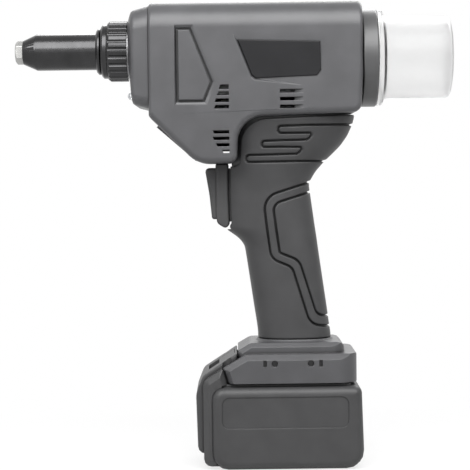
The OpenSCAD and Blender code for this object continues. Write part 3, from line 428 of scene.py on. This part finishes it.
def grip_skin(name, side, holes):
    """One skin, from a flat sheet of shares and heights that is refined along the grooves and edges."""
    rim = eased(skin_outline, closed=True)
    ring = np.linspace(0, math.tau, 25)
    hole_rims = [np.stack((x + GRIP_SCREW_R * np.cos(ring), z + GRIP_SCREW_R * np.sin(ring)), axis=-1)
                 for x, z in holes]
    grooves = [eased(line) for line in (meander, band_outer, band_inner)]
    sheet = bmesh.new()
    bmesh.ops.create_grid(sheet, x_segments=SHEET_ACROSS, y_segments=SHEET_UP, size=0.5)
    for vert in sheet.verts:
        vert.co.x += 0.5
        vert.co.y = SKIN_LOW + (vert.co.y + 0.5) * (SKIN_HIGH - SKIN_LOW)

    def spread(parts):
        flat = np.array([part.co[:2] for part in parts])
        return flat[:, 0], flat[:, 1]

    for band in REFINED:
        low = np.array([edge.verts[0].co[:2] for edge in sheet.edges])
        high = np.array([edge.verts[1].co[:2] for edge in sheet.edges])
        middle = side_view((low[:, 0] + high[:, 0]) / 2, (low[:, 1] + high[:, 1]) / 2)
        gap = np.min([nearest(middle, line)[1] for line in (*grooves, rim, *hole_rims)], axis=0)
        close = [edge for edge, near in zip(sheet.edges[:], gap < band) if near]
        bmesh.ops.subdivide_edges(sheet, edges=close, cuts=1, use_grid_fill=True)
    middles = np.array([face.calc_center_median()[:2] for face in sheet.faces])
    spots = side_view(middles[:, 0], middles[:, 1])
    kept = within(spots, rim)
    for circle in hole_rims:
        kept &= ~within(spots, circle)
    spare = [face for face, keep in zip(sheet.faces[:], kept) if not keep]
    bmesh.ops.delete(sheet, geom=spare, context="FACES")
    free_verts = [vert for vert in sheet.verts if SPLIT_SHARE < vert.co.x < 1 - SPLIT_SHARE]
    edge_verts = [vert for vert in free_verts if vert.is_boundary]
    share, height = spread(edge_verts)
    spots = side_view(share, height)
    for line in (rim, *hole_rims):
        place, gap = nearest(spots, line)
        for vert, spot, near in zip(edge_verts, place, gap):
            if near < SNAP:
                across = handle_point(even_shares, np.full(len(even_shares), spot[1]), 0)[:, 0]
                vert.co.x = np.interp(spot[0], across, even_shares)
                vert.co.y = spot[1]
    outer_verts = sheet.verts[:]
    share, height = spread(outer_verts)
    spots = side_view(share, height)
    line_gap = np.min([nearest(spots, line)[1] for line in grooves], axis=0)
    rim_gap = np.min([nearest(spots, line)[1] for line in (rim, *hole_rims)], axis=0)
    wall = np.clip((GROOVE_HALF + GROOVE_EASE - line_gap) / (2 * GROOVE_EASE), 0, 1)
    lip = np.clip(1 - rim_gap / LIP_REACH, 0, 1)
    depth = np.maximum(GROOVE_DEEP * wall * wall * (3 - 2 * wall), LIP_DROP * lip * lip)
    outer = handle_point(share, height, depth)
    inner = handle_point(share, height, SKIN_THICK)
    for vert, point in zip(outer_verts, outer):
        vert.co = (point[0] * MM, point[1] * MM * side, point[2] * MM)
    open_edges = [edge for edge in sheet.edges if edge.is_boundary]
    copy = bmesh.ops.duplicate(sheet, geom=sheet.verts[:] + sheet.edges[:] + sheet.faces[:])
    twin = {old: new for old, new in copy["vert_map"].items() if isinstance(old, bmesh.types.BMVert)}
    for vert, point in zip(outer_verts, inner):
        twin[vert].co = (point[0] * MM, point[1] * MM * side, point[2] * MM)
    lining = [part for part in copy["geom"] if isinstance(part, bmesh.types.BMFace)]
    bmesh.ops.reverse_faces(sheet, faces=lining)
    for edge in open_edges:
        a, b = edge.verts
        sheet.faces.new((b, a, twin[a], twin[b])).smooth = True
        edge.smooth = False
    bmesh.ops.recalc_face_normals(sheet, faces=sheet.faces[:])
    for face in sheet.faces:
        face.smooth = True
    return placed(name, sheet)


TRIGGER_ROOM_LOW = (-0.03, -0.0113, 0.1608)
TRIGGER_ROOM_HIGH = (0.0065, 0.0113, 0.2071)


def cut_room(piece, low, high):
    """Cuts a block out of a piece, here the room that the trigger's skirt slides back into."""
    form = bmesh.new()
    bmesh.ops.create_cube(form, size=1.0)
    for corner in form.verts:
        corner.co = [(a + b) / 2 + (b - a) * c for a, b, c in zip(low, high, corner.co)]
    room = placed("room", form)
    block = room.data
    cut = piece.modifiers.new("cut", "BOOLEAN")
    cut.operation = "DIFFERENCE"
    cut.solver = "EXACT"
    cut.object = room
    view = bpy.context.evaluated_depsgraph_get()
    whole = piece.data
    piece.data = bpy.data.meshes.new_from_object(piece.evaluated_get(view))
    piece.modifiers.clear()
    bpy.data.meshes.remove(whole)
    bpy.data.objects.remove(room)
    bpy.data.meshes.remove(block)
    piece.data.name = piece.name


grip_rubber = moulded("grip_rubber", (0.032, 0.032, 0.033), rough=0.48, grain=0.0003, gloss=0.32)
for name, node, side, holes in (("left_grip_skin", "left_grip", 1, []),
                                ("right_grip_skin", "right_grip", -1, grip_screws)):
    skin = grip_skin(name, side, holes)
    cut_room(skin, TRIGGER_ROOM_LOW, TRIGGER_ROOM_HIGH)
    skin.data.materials.clear()
    skin.data.materials.append(grip_rubber)
    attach(skin, "tool")
    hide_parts(node)


# Name plate: a bare black inlay in a shallow recess of the shown side.
# It is stuck to the floor of the recess with sheet adhesive.
plate_gloss = moulded("plate_gloss", (0.008, 0.008, 0.009), rough=0.2, grain=0.001, depth=0.000004,
                      gloss=0.25)
dress(plate_gloss, "name_plate")


# Work light: a clear round diode that stands out of the cap and points at the rivet.
# Its collar is held between the cap and the casting behind it.
def glassy(name, colour, rough, index, clear=1.0):
    finish, nodes, links, skin = new_finish(name)
    skin.inputs["Transmission Weight"].default_value = clear
    skin.inputs["IOR"].default_value = index
    haze = speckle(nodes, links, size=0.004)
    links.new(tinted(nodes, links, haze, shade(colour, 0.97), colour), skin.inputs["Base Color"])
    links.new(ranged(nodes, links, haze, rough * 0.9, rough * 1.1), skin.inputs["Roughness"])
    return finish


clear_lens = glassy("clear_lens", (0.92, 0.94, 0.96), rough=0.12, index=1.4, clear=0.6)
dress(clear_lens, "work_light")


# Nose: black steel sleeve, collar and fluted nut, and a bright steel hexagon tip.
# The tip screws into the sleeve, and the nut clamps both to the cast frame.
black_steel = metal("black_steel", (0.05, 0.05, 0.051), rough=0.22, grain=0.0003, depth=0.000004,
                    stretch=LATHE_LINES)
dress(black_steel, "nose_sleeve", "sleeve_collar", "nose_nut", edge=0.00025)
dress(bright_steel, "nosepiece", edge=0.0002)


# Collector: a dark ring on the rear face with a rubber seal, and a frosted clear bottle.
# The bottle is blow moulded, and its neck pulls out of the ring when spent mandrels are tipped out.
ring_plastic = moulded("ring_plastic", (0.05, 0.05, 0.051), rough=0.36)
dress(ring_plastic, "collector_ring", edge=0.0003)
seal_rubber = moulded("seal_rubber", (0.012, 0.012, 0.012), rough=0.6)
dress(seal_rubber, "collector_seal")
bottle_clear = glassy("bottle_clear", (0.92, 0.92, 0.92), rough=0.32, index=1.2)
BOTTLE_AXIS = 0.2774
BOTTLE_R = 0.0277
BOTTLE_END = 0.147
BOTTLE_WALL = 0.0013
BOTTLE_END_R = 0.003
NECK_START = 0.0888
NECK_R = 0.02752
NECK_BORE_R = 0.0262
FLANGE_START = 0.097
FLANGE_R = 0.0326
FLANGE_EASE = 0.0008
FLANGE_END = 0.0998
FLANGE_ROUND_END = 0.1006
FILLET_START = 0.102
BODY_START = 0.104


def turned(name, profile, height, turns=128):
    """A closed solid turned about a line along X, from stations and radii."""
    form = bmesh.new()
    angles = [2 * math.pi * k / turns for k in range(turns)]
    rings = []
    for station, radius in profile:
        places = [(station, radius * math.cos(a), height + radius * math.sin(a)) for a in angles]
        if radius == 0:
            places = [(station, 0, height)]
        rings.append([form.verts.new(place) for place in places])
    for near, far in zip(rings, rings[1:] + rings[:1]):
        for k in range(turns):
            first, second = near[k % len(near)], near[(k + 1) % len(near)]
            third, fourth = far[(k + 1) % len(far)], far[k % len(far)]
            corners = list(dict.fromkeys((first, second, third, fourth)))
            if len(corners) > 2:
                form.faces.new(corners)
    bmesh.ops.recalc_face_normals(form, faces=form.faces)
    piece = placed(name, form)
    piece.data.shade_smooth()
    return piece


def round_end(radius):
    """The bottle's rounded far edge, from its side to its flat end."""
    middle = BOTTLE_R - BOTTLE_END_R
    turns = [math.radians(10 * k) for k in range(10)]
    return [(BOTTLE_END - BOTTLE_END_R + radius * math.sin(a), middle + radius * math.cos(a)) for a in turns]


outside = [(NECK_START, NECK_BORE_R), (NECK_START, NECK_R), (FLANGE_START, NECK_R), (FLANGE_START, FLANGE_R)]
outside += [(FLANGE_END, FLANGE_R), (FLANGE_ROUND_END, FLANGE_R - FLANGE_EASE)]
outside += [(FILLET_START, BOTTLE_R + FLANGE_EASE), (BODY_START, BOTTLE_R)]
outside += round_end(BOTTLE_END_R) + [(BOTTLE_END, 0)]
inside = [(BOTTLE_END - BOTTLE_WALL, 0)] + round_end(BOTTLE_END_R - BOTTLE_WALL)[::-1]
inside += [(BODY_START, BOTTLE_R - BOTTLE_WALL)]
bottle = turned("clear_bottle", outside + inside, BOTTLE_AXIS)
bottle.data.materials.append(bottle_clear)
marks = bottle.modifiers.new("marks", "NODES")
marks.node_group = crisp
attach(bottle, "bottle")
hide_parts("collector_bottle")


# Trigger: a moulded blade with a wider skirt behind it, in dark plastic like that of the shells.
# It slides back into the handle on its switch rod against a spring.
trigger_plastic = moulded("trigger_plastic", (0.036, 0.036, 0.037), rough=0.5, gloss=0.35)
dress(trigger_plastic, "trigger")


# Battery: two moulded case halves on ten cells, with steps in front and a latch button between them.
# The pack slides onto the foot's rails from the front, and four screws close its case.
pack_plastic = moulded("pack_plastic", (0.031, 0.031, 0.032), rough=0.46, grain=0.0004, depth=0.00004,
                       gloss=0.4)
dress(pack_plastic, "battery_lower_case", "battery_upper_case", "latch_button")
cell_sleeve = moulded("cell_sleeve", (0.02, 0.08, 0.32), rough=0.3)
dress(cell_sleeve, "battery_cells")


# Floor: a pale seamless sheet under the tool, which keeps the tool's soft shadow.
# Away from the tool it runs into the white of the backdrop.
FLOOR_REACH = 3.0
FLOOR_MIDDLE = (0.03, 0, -0.0002)
FLOOR_GREY = 0.8
FADE_START = 0.05
FADE_STOP = 0.3
WHITE_SHARE = 0.75


def looked_at(nodes, links):
    """One where the camera, a clear or a shiny piece looks at a surface, zero where it only lights."""
    path = nodes.new("ShaderNodeLightPath")
    seen = path.outputs["Is Camera Ray"]
    for ray in ("Is Transmission Ray", "Is Glossy Ray"):
        either = nodes.new("ShaderNodeMath")
        either.operation = "MAXIMUM"
        links.new(seen, either.inputs[0])
        links.new(path.outputs[ray], either.inputs[1])
        seen = either.outputs[0]
    return seen


bpy.ops.mesh.primitive_circle_add(vertices=96, radius=FLOOR_REACH, fill_type="NGON", location=FLOOR_MIDDLE)
floor = bpy.context.object
floor.name = "floor"
floor_paint, nodes, links, skin = new_finish("floor_paint")
skin.inputs["Base Color"].default_value = (FLOOR_GREY, FLOOR_GREY, FLOOR_GREY, 1)
skin.inputs["Roughness"].default_value = 0.8
glow = nodes.new("ShaderNodeEmission")
place = nodes.new("ShaderNodeTexCoord")
distance = nodes.new("ShaderNodeVectorMath")
distance.operation = "LENGTH"
fade = ranged(nodes, links, distance.outputs["Value"], WHITE_SHARE, 1, FADE_START, FADE_STOP)
both = nodes.new("ShaderNodeMath")
both.operation = "MULTIPLY"
mix = nodes.new("ShaderNodeMixShader")
links.new(place.outputs["Object"], distance.inputs[0])
links.new(looked_at(nodes, links), both.inputs[0])
links.new(fade, both.inputs[1])
links.new(both.outputs[0], mix.inputs["Fac"])
links.new(skin.outputs["BSDF"], mix.inputs[1])
links.new(glow.outputs["Emission"], mix.inputs[2])
links.new(mix.outputs["Shader"], nodes["Material Output"].inputs["Surface"])
floor.data.materials.append(floor_paint)


# Light: a broad softbox above and in front that rolls over the shoulders, and a weak key from the left.
# A soft front lamp and one from behind fill the rest.
# The room around is dark grey, and white where the camera, a shiny piece or a clear one looks at it.
def softbox(name, place, aim, width, height, watts):
    lamp = bpy.data.lights.new(name, "AREA")
    lamp.shape = "RECTANGLE"
    lamp.size = width
    lamp.size_y = height
    lamp.energy = watts
    stand = bpy.data.objects.new(name, lamp)
    stand.location = place
    stand.rotation_euler = (Vector(aim) - Vector(place)).to_track_quat("-Z", "Y").to_euler()
    bpy.context.scene.collection.objects.link(stand)


softbox("overhead", (0.0, -0.5, 0.76), aim=(0, 0, 0.3), width=1.5, height=0.54, watts=17)
softbox("key", (-0.55, -0.6, 0.62), aim=(0, 0, 0.24), width=0.35, height=0.35, watts=0.8)
softbox("front", (0.0, -1.5, 0.65), aim=(0, 0, 0.3), width=1.8, height=0.7, watts=2.5)
softbox("back", (0.3, 1.2, 1.1), aim=(0, 0, 0.25), width=1.4, height=0.7, watts=12)

ROOM_GREY = 0.18
world = bpy.data.worlds.new("studio")
bpy.context.scene.world = world
world.use_nodes = True
nodes, links = world.node_tree.nodes, world.node_tree.links
room = nodes["Background"]
room.inputs["Color"].default_value = (ROOM_GREY, ROOM_GREY, ROOM_GREY, 1)
sweep = nodes.new("ShaderNodeBackground")
sweep.inputs["Color"].default_value = (1, 1, 1, 1)
mix = nodes.new("ShaderNodeMixShader")
links.new(looked_at(nodes, links), mix.inputs["Fac"])
links.new(room.outputs["Background"], mix.inputs[1])
links.new(sweep.outputs["Background"], mix.inputs[2])
links.new(mix.outputs["Shader"], nodes["World Output"].inputs["Surface"])


# Camera: level with the handle, square to the shown side and tilted as in the photograph.
# A long lens about a metre away.
camera = bpy.data.cameras.new("camera")
camera.lens = 116.6
camera.sensor_width = 36
viewer = bpy.data.objects.new("camera", camera)
viewer.location = (-0.00145, -1.050, 0.198)
viewer.rotation_mode = "QUATERNION"
tilt = Quaternion((1, 0, 0), math.radians(87.76))
roll = Quaternion((0, 0, 1), math.radians(-0.75))
viewer.rotation_quaternion = tilt @ roll
bpy.context.scene.collection.objects.link(viewer)
bpy.context.scene.camera = viewer
bpy.context.scene.view_settings.view_transform = "Standard"
